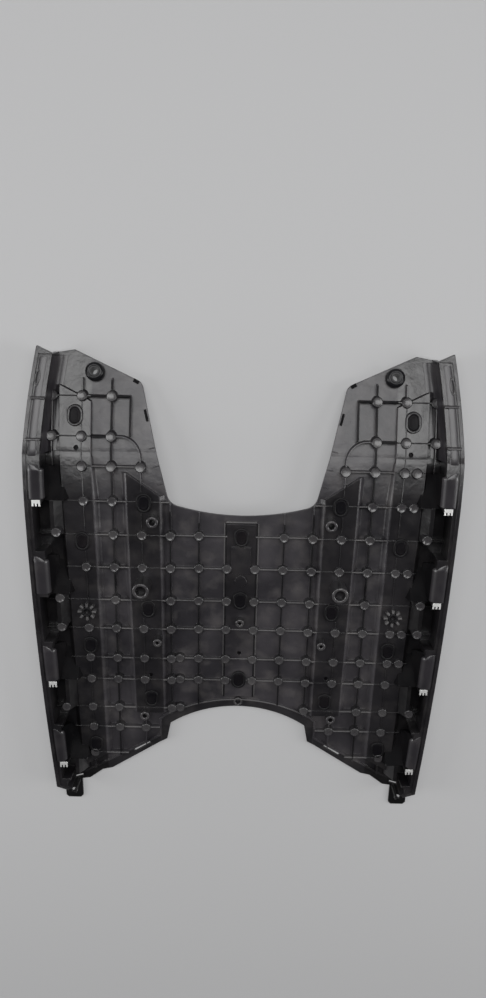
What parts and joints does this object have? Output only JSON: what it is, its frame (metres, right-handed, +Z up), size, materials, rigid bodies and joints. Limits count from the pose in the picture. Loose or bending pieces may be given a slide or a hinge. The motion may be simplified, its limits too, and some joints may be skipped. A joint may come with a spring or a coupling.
{
  "type": "scooter floorboard",
  "caption": "Scooter floorboard lying underside up: ribbed black moulding with bent ears, side ledges, hook pockets and rear tabs, with rubber mats, grommets and steel spring clips.",
  "frame": {"origin": "centre of the bounding box's bottom face, on the floor that the board lies on", "axes": "+Y to the scooter's front, +Z up out of the underside, +X across"},
  "size_m": [0.4346, 0.5238, 0.0517],
  "materials": {
    "black_plastic": "satin moulded plastic with fine grain",
    "mat_rubber": "smooth black rubber",
    "grommet_rubber": "glossy black rubber",
    "clip_steel": "bright zinc-plated spring steel"
  },
  "bodies": {
    "root": {"floor_panel": "black_plastic", "centre_mat": "mat_rubber", "left_inner_mat": "mat_rubber", "right_inner_mat": "mat_rubber", "left_outer_mat": "mat_rubber", "right_outer_mat": "mat_rubber", "left_grommet": "grommet_rubber", "right_grommet": "grommet_rubber", "side_clips": "clip_steel"}
  },
  "joints": []
}
